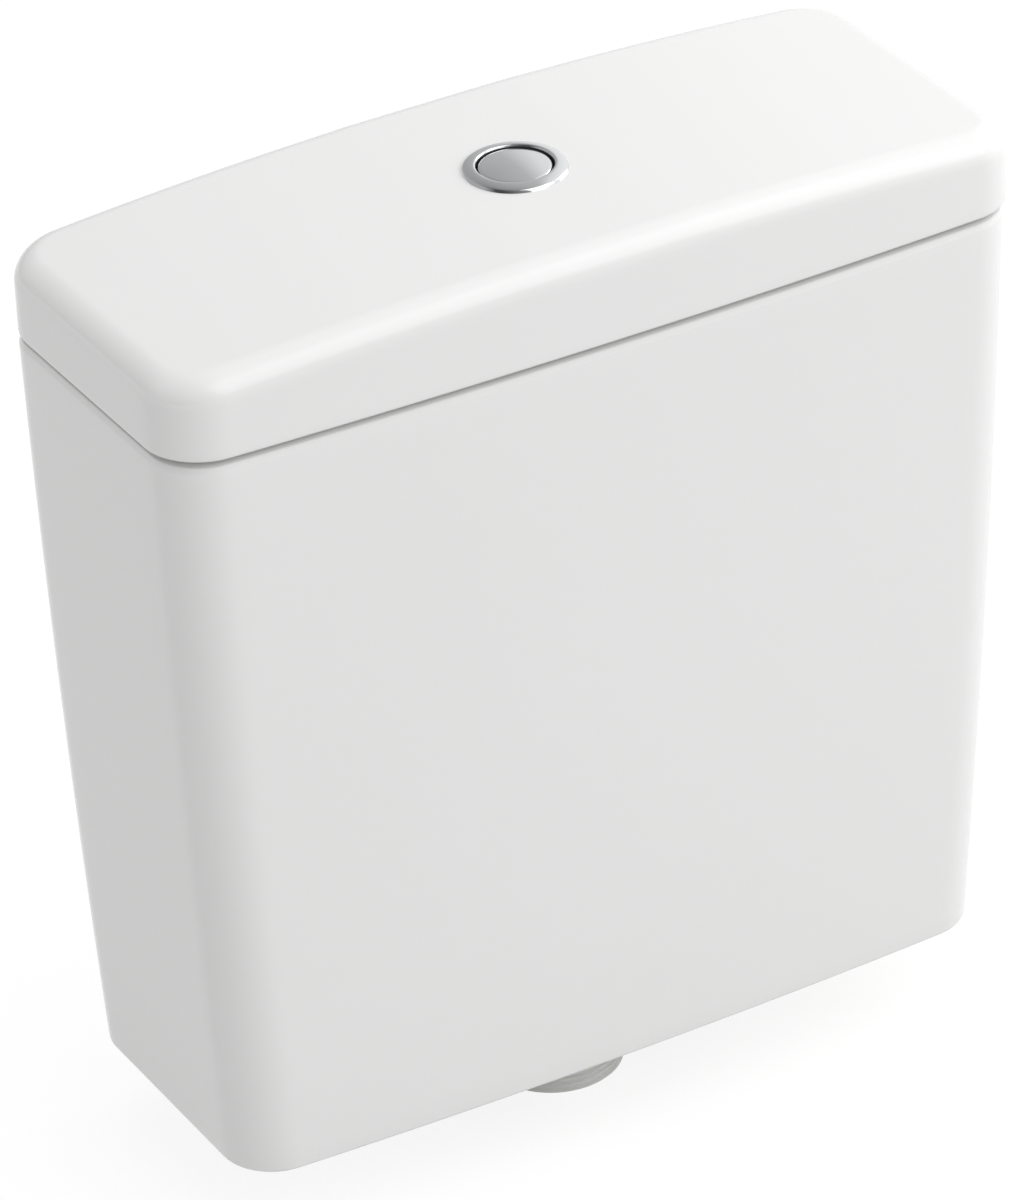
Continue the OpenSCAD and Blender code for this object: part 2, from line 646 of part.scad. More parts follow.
// valve head with its outlet spout
spout_r = 6;
module fill_head() {
  color([0.85, 0.86, 0.88]) translate([fill_x, 0, 0]) difference() {
    union() {
      translate([0, 0, head_z]) cylinder(r = head_r, h = head_h);
      box(-8, 8, 0, spout_y, head_z + 6, head_z + 20);
      translate([0, spout_y, head_z]) cylinder(r = 9, h = 20);
    }
    translate([0, 0, head_z - 1]) cylinder(r = pipe_r + snug, h = pipe_top - head_z + 1);
    translate([0, 0, head_z]) cylinder(r = pipe_bore, h = head_h + 1);
    translate([0, spout_y, head_z - 1]) cylinder(r = spout_r + snug, h = 12);
    translate([0, 0, head_z + 15]) rotate([-90, 0, 0]) cylinder(r = 3, h = spout_y);
    translate([0, spout_y, head_z + 10]) cylinder(r = 4, h = 8.8);
  }
}
module discharge_tube() {
  color([0.92, 0.92, 0.92]) translate([fill_x, spout_y, 0])
    ring(spout_r - 1.2, spout_r, z_floor + 24, head_z + 11);
}
module valve_diaphragm() {
  color([0.15, 0.15, 0.15]) translate([fill_x, 0, head_z + head_h]) cylinder(r = head_r - 1.5, h = 2);
}

// screw cap with pilot nozzle and ears for the arm
module head_cap() {
  color([0.2, 0.45, 0.75]) translate([fill_x, 0, 0]) difference() {
    union() {
      translate([0, 0, cap_z]) cylinder(r = head_r + 2.5, h = cap_top - cap_z);
      for (a = [15:30:345]) rotate([0, 0, a])
        box(head_r + 1.5, head_r + 3.4, -1.5, 1.5, cap_z + 0.5, cap_top - 2);
      translate([tail_reach - 6, 0, cap_top - 1]) cylinder(r = 2.2, h = nozzle_top - cap_top + 1);
      for (s = [-1, 1]) box(-10.5, -1.5, s * 8 - 1.5, s * 8 + 1.5, cap_top - 1, arm_piv_z + 4.5);
    }
    translate([0, 0, cap_z - 1]) cylinder(r = head_r + snug, h = head_z + head_h - cap_z + 1);
    translate([0, 0, cap_z]) cylinder(r = head_r - 1.2, h = head_z + head_h + 2.1 - cap_z);
    translate([tail_reach - 6, 0, cap_z]) cylinder(r = 0.7, h = nozzle_top);
    rod_y(-6, arm_piv_z, pin_r + 0.01, 12);
  }
}

// float arm, low at rest, forked round the level screw
module float_arm() {
  color([0.92, 0.92, 0.9]) translate([arm_piv_x, 0, arm_piv_z]) rotate([0, -swing, 0]) difference() {
    union() {
      box(-float_arm_l - 6, tail_reach + 2, -6, 6, -2, 2);
      rod_y(0, 0, pin_r + 2.6, 6);
    }
    rod_y(0, 0, pin_r + pin_play, 8);
    box(-float_arm_l - 7, -float_arm_l + 4.4 - screw_r, -screw_r - slip, screw_r + slip, -3, 3);
    translate([-float_arm_l + 4.4 - screw_r, 0, -3]) cylinder(r = screw_r + slip, h = 6);
  }
}
module arm_pin() {
  color([0.7, 0.7, 0.72]) rod_y(arm_piv_x, arm_piv_z, pin_r, 11);
}

// level screw held by the fork between its collars, threaded into the float
module level_screw() {
  color([0.85, 0.25, 0.15]) translate([float_x, 0, 0]) {
    translate([0, 0, float_top - 20]) cylinder(r = screw_r, h = fork_z + fork_half + 1 - float_top + 20);
    translate([0, 0, fork_z - fork_half - 2.5]) cylinder(r = 5, h = 2.5);
    translate([0, 0, fork_z + fork_half]) cylinder(r = 5, h = 2.5);
    translate([0, 0, fork_z + fork_half + 2]) cylinder(r = 4, h = 6, $fn = 6);
  }
}

// cup-shaped float, open below, with a boss for the screw and an eye that runs on the standpipe
eye_z = float_top - 40;
module slab(w, d, r, z1, z2) {
  translate([0, 0, z1]) linear_extrude(height = z2 - z1) union() {
    square([w - 2 * r, d], center = true);
    square([w, d - 2 * r], center = true);
    for (sx = [-1, 1]) for (sy = [-1, 1]) translate([sx * (w / 2 - r), sy * (d / 2 - r)]) circle(r = r);
  }
}
cup_wall = 2;
module fill_float() {
  color([0.93, 0.93, 0.92]) difference() {
    union() {
      translate([float_x, 0, 0]) {
        difference() {
          slab(float_w, float_d, 7, float_top - float_h, float_top);
          slab(float_w - 2 * cup_wall, float_d - 2 * cup_wall, 5,
            float_top - float_h - 1, float_top - cup_wall);
        }
        slab(float_w - 8, float_d - 8, 5, float_top - 1, float_top + 2);
        translate([0, 0, float_top - 24]) cylinder(r = 6.5, h = 31);
      }
      box(float_x + float_w / 2 - 1, fill_x - pipe_r - 1, -4, 4, eye_z, eye_z + 10);
      translate([fill_x, 0, eye_z]) cylinder(r = pipe_r + 4, h = 10);
    }
    translate([float_x, 0, float_top - 21]) cylinder(r = screw_r + snug, h = 40);
    translate([fill_x, 0, eye_z - 1]) cylinder(r = pipe_r + slip, h = 12);
  }
}

// coupling bolts with seal, washer and nut on each
module on_bolts() {
  both() translate([bolt_span / 2, 0, 0]) children();
}
bolt_r = 4.4;
seal_h = 5;
bolt_nut_t = 4;
module coupling_bolts() {
  neck = z_rec - 2 - bolt_nut_t;
  color([0.75, 0.75, 0.77]) on_bolts() {
    translate([0, 0, z_floor + seal_h]) cylinder(r = 9, h = 4.5);
    translate([0, 0, z_floor + seal_h + 4.5]) cylinder(r1 = 9, r2 = 7.8, h = 1.2);
    translate([0, 0, neck - 0.4]) cylinder(r = bolt_r, h = z_floor + seal_h - neck + 0.9);
    translate([0, 0, neck - 1.2]) cylinder(r = stud_r - 0.7, h = 1);
    translate([0, 0, 1.2 - stud_l]) cylinder(r = stud_r, h = neck - 1 + stud_l - 1.2);
    translate([0, 0, -stud_l]) cylinder(r1 = stud_r - 1.1, r2 = stud_r, h = 1.2);
  }
}
module bolt_seals() {
  color([0.12, 0.12, 0.12]) on_bolts() difference() {
    translate([0, 0, z_floor]) cylinder(r1 = 14, r2 = 11.5, h = seal_h);
    translate([0, 0, z_floor - 1]) cylinder(r = bolt_r + snug, h = seal_h + 2);
  }
}
module bolt_washers() {
  color([0.72, 0.72, 0.74]) on_bolts() ring(bolt_r + 0.15, 12, z_rec - 2, z_rec);
}
module bolt_nuts() {
  color([0.72, 0.72, 0.74]) on_bolts() difference() {
    translate([0, 0, z_rec - 2 - bolt_nut_t]) cylinder(r = 7.5, h = bolt_nut_t, $fn = 6);
    translate([0, 0, z_rec - 3 - bolt_nut_t]) cylinder(r = bolt_r + snug, h = bolt_nut_t + 2);
  }
}

cistern_tank();
cistern_lid();
lid_pads();
button_bezel();
button_guide();
push_button();
button_spring();
stem_clip();
push_rod();
rod_locknut();
bezel_gasket();
bezel_nut();
valve_base();
window_cage();
base_washer();
base_backnut();
coupling_washer();
valve_tower();
overflow_tube();
seal_carrier();
flush_seal();
seal_retainer();
flush_float();
lift_collar();
rocker_left();
rocker_right();
rocker_pins();
press_bridge();
fill_standpipe();
inlet_washer();
inlet_backnut();
fill_head();
valve_diaphragm();
head_cap();
float_arm();
arm_pin();
level_screw();
fill_float();
discharge_tube();
inlet_filter();
coupling_bolts();
bolt_seals();
bolt_washers();
bolt_nuts();
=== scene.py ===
import json
import math
import bmesh
import bpy
from mathutils import Matrix, Vector
from mathutils.geometry import tessellate_polygon


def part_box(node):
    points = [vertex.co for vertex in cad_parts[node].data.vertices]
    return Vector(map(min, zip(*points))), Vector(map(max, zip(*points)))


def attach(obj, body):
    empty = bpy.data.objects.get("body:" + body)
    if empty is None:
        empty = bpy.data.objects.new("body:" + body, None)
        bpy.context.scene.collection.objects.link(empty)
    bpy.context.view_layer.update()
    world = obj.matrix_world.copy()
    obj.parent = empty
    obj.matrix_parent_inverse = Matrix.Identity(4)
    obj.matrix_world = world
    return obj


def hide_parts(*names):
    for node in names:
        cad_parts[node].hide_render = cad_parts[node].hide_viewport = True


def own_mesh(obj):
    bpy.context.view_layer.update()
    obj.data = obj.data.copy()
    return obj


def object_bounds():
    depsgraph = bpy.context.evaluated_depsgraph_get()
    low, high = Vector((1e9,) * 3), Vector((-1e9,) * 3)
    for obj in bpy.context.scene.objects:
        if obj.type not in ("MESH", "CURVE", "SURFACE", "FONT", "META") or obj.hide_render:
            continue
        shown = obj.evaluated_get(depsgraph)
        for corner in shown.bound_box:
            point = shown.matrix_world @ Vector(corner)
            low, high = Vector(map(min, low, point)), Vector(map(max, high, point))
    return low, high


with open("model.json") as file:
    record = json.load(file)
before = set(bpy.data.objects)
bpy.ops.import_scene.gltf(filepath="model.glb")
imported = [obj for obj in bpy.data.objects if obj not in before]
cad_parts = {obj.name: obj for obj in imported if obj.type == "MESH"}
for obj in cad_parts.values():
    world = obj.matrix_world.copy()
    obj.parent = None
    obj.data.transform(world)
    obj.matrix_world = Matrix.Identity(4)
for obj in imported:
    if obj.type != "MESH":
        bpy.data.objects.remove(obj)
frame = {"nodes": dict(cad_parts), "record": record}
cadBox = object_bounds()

mm = 0.001
nodes = frame["nodes"]
bodies = frame["record"]["behaviour"]["bodies"]
bodyOf = {node: body for body, members in bodies.items() for node in members}


# shader maths as expressions

class Sock:
    def __init__(self, graph, socket):
        self.graph = graph
        self.socket = socket

    def __add__(self, other):
        return self.graph.maths("ADD", self, other)

    def __radd__(self, other):
        return self.graph.maths("ADD", other, self)

    def __sub__(self, other):
        return self.graph.maths("SUBTRACT", self, other)

    def __rsub__(self, other):
        return self.graph.maths("SUBTRACT", other, self)

    def __mul__(self, other):
        return self.graph.maths("MULTIPLY", self, other)

    def __rmul__(self, other):
        return self.graph.maths("MULTIPLY", other, self)


class Graph:
    def __init__(self, tree):
        self.tree = tree
        tree.nodes.clear()

    def node(self, kind, settings=None, sockets=None, out=0):
        made = self.tree.nodes.new(kind)
        for key, value in (settings or {}).items():
            if key == "stops":
                self.setStops(made.color_ramp, value)
            else:
                setattr(made, key, value)
        for key, value in (sockets or {}).items():
            if isinstance(value, Sock):
                self.tree.links.new(value.socket, made.inputs[key])
            else:
                made.inputs[key].default_value = value
        return Sock(self, made.outputs[out]) if made.outputs else made

    def setStops(self, ramp, stops):
        while len(ramp.elements) < len(stops):
            ramp.elements.new(1.0)
        for element, (place, level) in zip(ramp.elements, stops):
            element.position = place
            element.color = (level, level, level, 1.0)

    def maths(self, operation, first, second):
        return self.node("ShaderNodeMath", {"operation": operation}, {0: first, 1: second})

    def blend(self, share, first, second):
        return self.node("ShaderNodeMix", {"data_type": "RGBA"}, {0: share, 6: first, 7: second}, out=2)

    def ramp(self, value, stops):
        return self.node("ShaderNodeValToRGB", {"stops": stops}, {0: value})

    def noise(self, where, scale, detail=2.0):
        return self.node("ShaderNodeTexNoise", {}, {"Vector": where, "Scale": scale, "Detail": detail})

    def stretched(self, where, factors):
        return self.node("ShaderNodeVectorMath", {"operation": "MULTIPLY"}, {0: where, 1: factors})

    def bump(self, height, distance, strength=1.0):
        return self.node("ShaderNodeBump", {}, {"Height": height, "Distance": distance, "Strength": strength})


def newFinish(name):
    material = bpy.data.materials.new(name)
    material.use_nodes = True
    graph = Graph(material.node_tree)
    where = graph.node("ShaderNodeTexCoord", out="Object")
    return material, graph, where


def closeFinish(graph, sockets):
    shader = graph.node("ShaderNodeBsdfPrincipled", {}, sockets)
    graph.node("ShaderNodeOutputMaterial", {}, {"Surface": shader})


def rgba(colour):
    return (*colour, 1.0)


# white vitreous glaze with rare specks; bare biscuit on the foot; painted shade in the seam where lid and
# tank meet, where the glaze is also rougher
glazeLook = dict(white=(0.925, 0.925, 0.922), warm=(0.915, 0.914, 0.908), cloudScale=7.0,
                 speck=(0.55, 0.52, 0.48), speckScale=900.0, speckShare=0.05,
                 speckStops=[(0.74, 0.0), (0.80, 1.0)],
                 biscuit=(0.80, 0.77, 0.72), footLevel=0.0015, footFacing=-0.8, bareRough=0.6,
                 grainScale=1500.0, grainShare=0.6,
                 # seam values: a grey band of painted shade on the lid's lower edge and the tank's rim
                 joint=(0.66, 0.655, 0.65), seamShadeLow=0.340, seamShadeSpan=0.005, seamShadeRough=0.4,
                 seamShadeStops=[(0.06, 0.0), (0.20, 1.0), (0.90, 1.0), (1.0, 0.0)],
                 rough=0.10, roughSpan=0.04, roughScale=40.0, waveScale=26.0, waveHeight=0.00003, ior=1.52)


def glazedChina():
    look = glazeLook
    material, graph, where = newFinish("glazedChina")
    facing = graph.node("ShaderNodeNewGeometry", out="Normal")
    upward = graph.node("ShaderNodeSeparateXYZ", {}, {0: facing}, out="Z")
    height = graph.node("ShaderNodeSeparateXYZ", {}, {0: where}, out="Z")
    low = graph.node("ShaderNodeMath", {"operation": "LESS_THAN"}, {0: height, 1: look["footLevel"]})
    under = graph.node("ShaderNodeMath", {"operation": "LESS_THAN"}, {0: upward, 1: look["footFacing"]})
    bare = low * under
    speck = graph.ramp(graph.noise(where, look["speckScale"], 1.0), look["speckStops"])
    # painted shade: the seam band between lid and tank, found by height and blended to a grey tone below
    joint = graph.ramp((height - look["seamShadeLow"]) * (1 / look["seamShadeSpan"]), look["seamShadeStops"])
    tone = graph.blend(graph.noise(where, look["cloudScale"], 3.0), rgba(look["white"]), rgba(look["warm"]))
    tone = graph.blend(speck * look["speckShare"], tone, rgba(look["speck"]))
    tone = graph.blend(bare, tone, rgba(look["biscuit"]))
    tone = graph.blend(joint, tone, rgba(look["joint"]))
    rough = look["rough"] + look["roughSpan"] * graph.noise(where, look["roughScale"])
    rough = rough + look["bareRough"] * bare + look["seamShadeRough"] * joint
    grain = look["grainShare"] * bare * graph.noise(where, look["grainScale"])
    wave = graph.noise(where, look["waveScale"], 1.0) + grain
    closeFinish(graph, {"Base Color": tone, "Roughness": rough, "IOR": look["ior"],
                        "Normal": graph.bump(wave, look["waveHeight"])})
    return material


# bright plating with faint polishing marks; painted shade in the slot between button and bezel: a dark, matt,
# non-metal ring
plateLook = dict(colour=(0.80, 0.81, 0.82), dull=(0.70, 0.71, 0.72), cloudScale=60.0, cloudShare=0.5,
                 rubbing=(4000.0, 500.0, 500.0), hazeStops=[(0.55, 0.0), (0.75, 1.0)], markHeight=0.0000008,
                 rough=0.09, roughSpan=0.07,
                 # slot values: the dark ring of painted shade in the gap round the button
                 bare=(0.025, 0.025, 0.027), slotRadius=0.0155, slotHalf=0.00027, slotRough=0.5)


def brightPlate():
    look = plateLook
    material, graph, where = newFinish("brightPlate")
    rubbed = graph.noise(graph.stretched(where, look["rubbing"]), 1.0)
    haze = graph.ramp(rubbed, look["hazeStops"])
    flat = graph.stretched(where, (1.0, 1.0, 0.0))
    radius = graph.node("ShaderNodeVectorMath", {"operation": "LENGTH"}, {0: flat}, out="Value")
    # painted shade: a ring picked by radius on bezel and button, made dark, matt and non-metal
    slotShade = graph.node("ShaderNodeMath", {"operation": "COMPARE"},
                      {0: radius, 1: look["slotRadius"], 2: look["slotHalf"]})
    cloud = look["cloudShare"] * graph.noise(where, look["cloudScale"], 3.0)
    tone = graph.blend(cloud, rgba(look["colour"]), rgba(look["dull"]))
    tone = graph.blend(slotShade, tone, rgba(look["bare"]))
    rough = look["rough"] + look["roughSpan"] * haze + look["slotRough"] * slotShade
    closeFinish(graph, {"Base Color": tone, "Roughness": rough, "Metallic": 1.0 - slotShade,
                        "Normal": graph.bump(rubbed, look["markHeight"])})
    return material


# drawn or turned metal: streaks run round or along the piece
metalLooks = dict(
    steel=dict(colour=(0.62, 0.62, 0.64), dark=(0.48, 0.48, 0.50), rough=0.24, span=0.16,
               streak=(300.0, 300.0, 4000.0)),
    brass=dict(colour=(0.76, 0.58, 0.28), dark=(0.55, 0.39, 0.16), rough=0.22, span=0.18,
               streak=(250.0, 250.0, 3000.0)))
metalWear = dict(stainScale=90.0, stainStops=[(0.45, 0.0), (0.72, 1.0)], stainShare=0.45, streakShare=0.35,
                 streakHeight=0.000004)


def workedMetal(name):
    look, wear = metalLooks[name], metalWear
    material, graph, where = newFinish(name + "Worked")
    streak = graph.noise(graph.stretched(where, look["streak"]), 1.0, 3.0)
    stain = graph.ramp(graph.noise(where, wear["stainScale"], 4.0), wear["stainStops"])
    dark = wear["streakShare"] * streak + wear["stainShare"] * stain
    tone = graph.blend(dark, rgba(look["colour"]), rgba(look["dark"]))
    rough = look["rough"] + look["span"] * streak
    closeFinish(graph, {"Base Color": tone, "Roughness": rough, "Metallic": 1.0,
                        "Normal": graph.bump(streak, wear["streakHeight"])})
    return material


# moulded plastics: fine spark texture, slow colour drift, slightly rubbed gloss
plasticLooks = dict(
    white_plastic=dict(colour=(0.86, 0.86, 0.84), drift=(0.80, 0.80, 0.77), rough=0.30, grain=0.000006),
    grey_plastic=dict(colour=(0.60, 0.64, 0.68), drift=(0.53, 0.57, 0.61), rough=0.42, grain=0.000012),
    blue_plastic=dict(colour=(0.06, 0.20, 0.48), drift=(0.04, 0.15, 0.38), rough=0.32, grain=0.000008),
    yellow_plastic=dict(colour=(0.80, 0.56, 0.08), drift=(0.70, 0.46, 0.05), rough=0.34, grain=0.000008),
    red_plastic=dict(colour=(0.62, 0.09, 0.05), drift=(0.50, 0.06, 0.035), rough=0.34, grain=0.000008))
plasticWear = dict(driftScale=35.0, sparkScale=2600.0, sparkRough=0.10, rubScale=140.0, rubRough=0.10,
                   rubStops=[(0.40, 0.0), (0.70, 1.0)], ior=1.49)


def mouldedPlastic(name):
    look, wear = plasticLooks[name], plasticWear
    material, graph, where = newFinish(name)
    drift = graph.noise(where, wear["driftScale"], 3.0)
    spark = graph.noise(where, wear["sparkScale"])
    rub = graph.ramp(graph.noise(where, wear["rubScale"], 4.0), wear["rubStops"])
    tone = graph.blend(drift, rgba(look["colour"]), rgba(look["drift"]))
    rough = look["rough"] + wear["sparkRough"] * spark + wear["rubRough"] * rub
    closeFinish(graph, {"Base Color": tone, "Roughness": rough, "IOR": wear["ior"],
                        "Normal": graph.bump(spark, look["grain"])})
    return material


# rubbers: matt, with talc bloom in patches
rubberLooks = dict(
    rubber=dict(colour=(0.030, 0.030, 0.032), bloom=(0.085, 0.085, 0.085), rough=0.62, grain=0.00003),
    seal=dict(colour=(0.48, 0.09, 0.06), bloom=(0.58, 0.17, 0.13), rough=0.48, grain=0.00001),
    pad=dict(colour=(0.70, 0.70, 0.68), bloom=(0.78, 0.78, 0.76), rough=0.60, grain=0.00002))
rubberWear = dict(bloomScale=70.0, bloomStops=[(0.42, 0.0), (0.70, 1.0)], bloomShare=0.7, grainScale=1800.0,
                  grainRough=0.2, ior=1.45)


def softRubber(name):
    look, wear = rubberLooks[name], rubberWear
    material, graph, where = newFinish(name)
    bloom = graph.ramp(graph.noise(where, wear["bloomScale"], 5.0), wear["bloomStops"])
    grain = graph.noise(where, wear["grainScale"], 3.0)
    tone = graph.blend(wear["bloomShare"] * bloom, rgba(look["colour"]), rgba(look["bloom"]))
    rough = look["rough"] + wear["grainRough"] * grain
    closeFinish(graph, {"Base Color": tone, "Roughness": rough, "IOR": wear["ior"],
                        "Normal": graph.bump(grain, look["grain"])})
    return material


finishes = {"glaze": glazedChina(), "plate": brightPlate()}
finishes.update({name: workedMetal(name) for name in metalLooks})
finishes.update({name: mouldedPlastic(name) for name in plasticLooks})
finishes.update({name: softRubber(name) for name in rubberLooks})
print("finishes made:", ", ".join(finishes))


# mesh helpers, in millimetres until a piece is finished

class Shell:
    def __init__(self):
        self.points = []
        self.faces = []

    def ring(self, points):
        start = len(self.points)
        self.points.extend(Vector(p) for p in points)
        return list(range(start, len(self.points)))

    def skin(self, lower, upper):
        count = len(lower)
        for i in range(count):
            j = (i + 1) % count
            self.faces.append((lower[i], lower[j], upper[j], upper[i]))

    def loft(self, rings):
        placed = [self.ring(r) for r in rings]
        for lower, upper in zip(placed, placed[1:]):
            self.skin(lower, upper)
        return placed

    def cap(self, outer, holes=()):
        index = [i for loop in (outer, *holes) for i in loop]
        loops = [[self.points[i] for i in loop] for loop in (outer, *holes)]
        for triangle in tessellate_polygon(loops):
            self.faces.append(tuple(index[k] for k in triangle))


def finishPiece(obj, body, slotName, replaced):
    bpy.context.scene.collection.objects.link(obj)
    obj.data.materials.clear()
    obj.data.materials.append(finishes[slotName])
    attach(obj, body)
    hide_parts(*replaced)
    return obj


meshing = dict(weld=1e-7, sharpAngle=42.0, plateAngle=50.0, plateCount=144)


def shellPiece(name, shell, slotName, replaced, sharpAngle=meshing["sharpAngle"]):
    mesh = bpy.data.meshes.new(name)
    mesh.from_pydata([p * mm for p in shell.points], [], shell.faces)
    bm = bmesh.new()
    bm.from_mesh(mesh)
    bmesh.ops.remove_doubles(bm, verts=bm.verts, dist=meshing["weld"])
    bmesh.ops.recalc_face_normals(bm, faces=bm.faces)
    bm.to_mesh(mesh)
    bm.free()
    mesh.shade_smooth()
    mesh.set_sharp_from_angle(angle=math.radians(sharpAngle))
    obj = bpy.data.objects.new(name, mesh)
    return finishPiece(obj, bodyOf[replaced[0]], slotName, replaced)


def arcPoints(radius, steps, start=0.0, end=90.0):
    angles = [math.radians(start + (end - start) * k / steps) for k in range(steps + 1)]
    return [(radius * math.cos(a), radius * math.sin(a)) for a in angles]


def circle(centre, radius, z, count):
    angles = [2 * math.pi * k / count for k in range(count)]
    return [(centre[0] + radius * math.cos(a), centre[1] + radius * math.sin(a), z) for a in angles]


# ceramic: the plan outline is bowed at the front and rounded at the corners

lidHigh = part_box("cistern_lid")[1] / mm
tankLow, tankHigh = (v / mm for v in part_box("cistern_tank"))
seat = lidHigh.z  # top of the lid at its middle, where the bezel sits
plan = dict(bow=5.0, hub=26.0, acrossSteps=18, hubSteps=4, cornerSteps=16, sideSteps=12)


def stations(half, corner):
    run = half - corner - plan["hub"]
    right = [plan["hub"] + run * k / plan["acrossSteps"] for k in range(plan["acrossSteps"])]
    right += [half - corner + corner * math.sin(math.radians(90.0 * k / plan["cornerSteps"]))
              for k in range(plan["cornerSteps"] + 1)]
    middle = [plan["hub"] * (2 * k / plan["hubSteps"] - 1) for k in range(1, plan["hubSteps"])]
    return [-x for x in reversed(right)] + middle + right


def cornerDrop(x, half, radius):
    past = max(0.0, abs(x) - (half - radius))
    return radius - math.sqrt(max(0.0, radius * radius - past * past))


def outline(half, front, back, frontRadius, backRadius):
    across = stations(half, max(frontRadius, backRadius))

    def bowed(x, y):
        return y - plan["bow"] * (back - y) / (back - front) * (1 - (x / half) ** 2)

    frontLine = [(x, bowed(x, front + cornerDrop(x, half, frontRadius))) for x in across]
    backLine = [(x, bowed(x, back - cornerDrop(x, half, backRadius))) for x in reversed(across)]
    steps = plan["sideSteps"]
    low, high = frontLine[-1][1], backLine[0][1]
    rightSide = [(half, low + (high - low) * k / steps) for k in range(1, steps)]
    leftSide = [(-half, high + (low - high) * k / steps) for k in range(1, steps)]
    return frontLine + rightSide + backLine + leftSide


tankShape = dict(widthTop=tankHigh.x - tankLow.x, widthBase=355.6, depthTop=149.1, depthBase=139.5,
                 height=tankHigh.z, rear=tankHigh.y, sideShare=0.5, frontShare=0.77,
                 cornerFront=22.5, cornerRear=22.0, minCorner=8.0, wall=10.0, floor=12.0, recess=8.0,
                 seatRim=16.0, seatDraft=1.0, seatEdge=((1.2, 0.2), (0.3, -0.3), (0.0, -1.2)),
                 innerRound=2.0, fillet=9.0, footRound=2.3, sideRows=40, arcRows=8,
                 rimBand=((4.6, 0.0), (4.4, 0.02), (4.25, 0.07), (3.2, 0.40), (2.2, 0.75), (1.5, 1.05),
                          (0.9, 1.5), (0.4, 2.2), (0.1, 2.9), (0.0, 3.5)))
holes = dict(outlet=((0.0, 0.0), 32.0), inlet=((138.0, 0.0), 11.68), boltLeft=((-75.0, 0.0), 5.5),
             boltRight=((75.0, 0.0), 5.5), softEdge=1.2, edgeSteps=4, count=72)


def tankRing(z, inset, level=None):
    t = tankShape
    down = 1 - max(0.0, z if level is None else level) / t["height"]
    sideDraw = t["sideShare"] * down + (1 - t["sideShare"]) * down * down
    frontDraw = t["frontShare"] * down + (1 - t["frontShare"]) * down * down
    half = (t["widthTop"] - (t["widthTop"] - t["widthBase"]) * sideDraw) / 2 - inset
    deep = t["depthTop"] - (t["depthTop"] - t["depthBase"]) * frontDraw
    frontRadius = max(t["cornerFront"] - inset, t["minCorner"])
    backRadius = max(t["cornerRear"] - inset, t["minCorner"])
    ring = outline(half, t["rear"] - deep + inset, t["rear"] - inset, frontRadius, backRadius)
    return [(x, y, z) for x, y in ring]


def throughHoles(shell, lowerRing, upperRing, zLow, zHigh, places):
    edge = holes["softEdge"]
    lower, upper = [], []
    for centre, radius in places:
        lip = arcPoints(edge, holes["edgeSteps"])
        rings = [circle(centre, radius + edge - s, zLow + edge - c, holes["count"]) for c, s in lip]
        rings += [circle(centre, radius + edge - c, zHigh - edge + s, holes["count"]) for c, s in lip]
        placed = shell.loft(rings)
        lower.append(placed[0])
        upper.append(placed[-1])
    shell.cap(lowerRing, lower)
    shell.cap(upperRing, upper)


def tankBody():
    t = tankShape
    top, arcs, foot = t["height"], t["arcRows"], t["footRound"]
    floorTop = t["recess"] + t["floor"]
    rows = [(t["recess"], t["seatRim"] + t["seatDraft"], 0.0)]
    rows += [(z, t["seatRim"] + shift, 0.0) for z, shift in t["seatEdge"]]
    rows += [(foot - c, foot - s) for s, c in reversed(arcPoints(foot, arcs))]
    sideTop = top - t["rimBand"][0][0]
    rows += [(foot + (sideTop - foot) * k / t["sideRows"], 0.0) for k in range(1, t["sideRows"])]
    rows += [(top - drop, inset) for drop, inset in t["rimBand"]]
    inner = t["innerRound"]
    rows += [(top - inner + s, t["wall"] - inner + c) for c, s in reversed(arcPoints(inner, arcs))]
    innerTop, innerLow = top - inner, floorTop + t["fillet"]
    rows += [(innerTop + (innerLow - innerTop) * k / t["sideRows"], t["wall"])
             for k in range(1, t["sideRows"])]
    rows += [(innerLow - s, t["wall"] + t["fillet"] - c) for c, s in arcPoints(t["fillet"], arcs)]
    shell = Shell()
    placed = shell.loft([tankRing(*row) for row in rows])
    places = [holes[name] for name in ("outlet", "inlet", "boltLeft", "boltRight")]
    throughHoles(shell, placed[0], placed[-1], t["recess"], floorTop, places)
    shellPiece("tankBody", shell, "glaze", ["cistern_tank"])


lidShape = dict(base=344.0, crown=9.4, round=11.0, over=1.4, thick=10.0, vault=8.0, lip=7.0, lipInset=14.0,
                wallInset=19.0, lipRound=1.2, lipSteps=5, edgeRound=1.6, edgeSteps=6,
                cove=((-0.6, 0.0), (-0.2, 0.15), (0.0, 0.6)), hole=((0.0, 0.0), 19.6), minCorner=6.0,
                rearExtra=3.0, arcRows=14, sideRows=10, topRows=(0.8, 2.5, 6.0, 14.0))


def crownAt(x):
    half = lidHigh.x
    hub = plan["hub"]
    level = lidShape["crown"] * (1 - (hub / half) ** 2)
    if abs(x) <= hub:
        return level
    t = min(1.0, (abs(x) - hub) / hub)
    return level - lidShape["crown"] * (x * x - hub * hub) / half ** 2 * t * t * (3 - 2 * t)


def lidRing(z, inset, share):
    t = tankShape
    frontRadius = max(t["cornerFront"] + lidShape["over"] - inset, lidShape["minCorner"])
    backRadius = t["cornerRear"] + lidShape["over"] + lidShape["rearExtra"] - inset
    backRadius = max(backRadius, lidShape["minCorner"])
    front = t["rear"] - t["depthTop"] - lidShape["over"] + inset
    ring = outline(lidHigh.x - inset, front, t["rear"] - inset, frontRadius, backRadius)
    return [(x, y, lidShape["base"] + z + share * crownAt(x)) for x, y in ring]


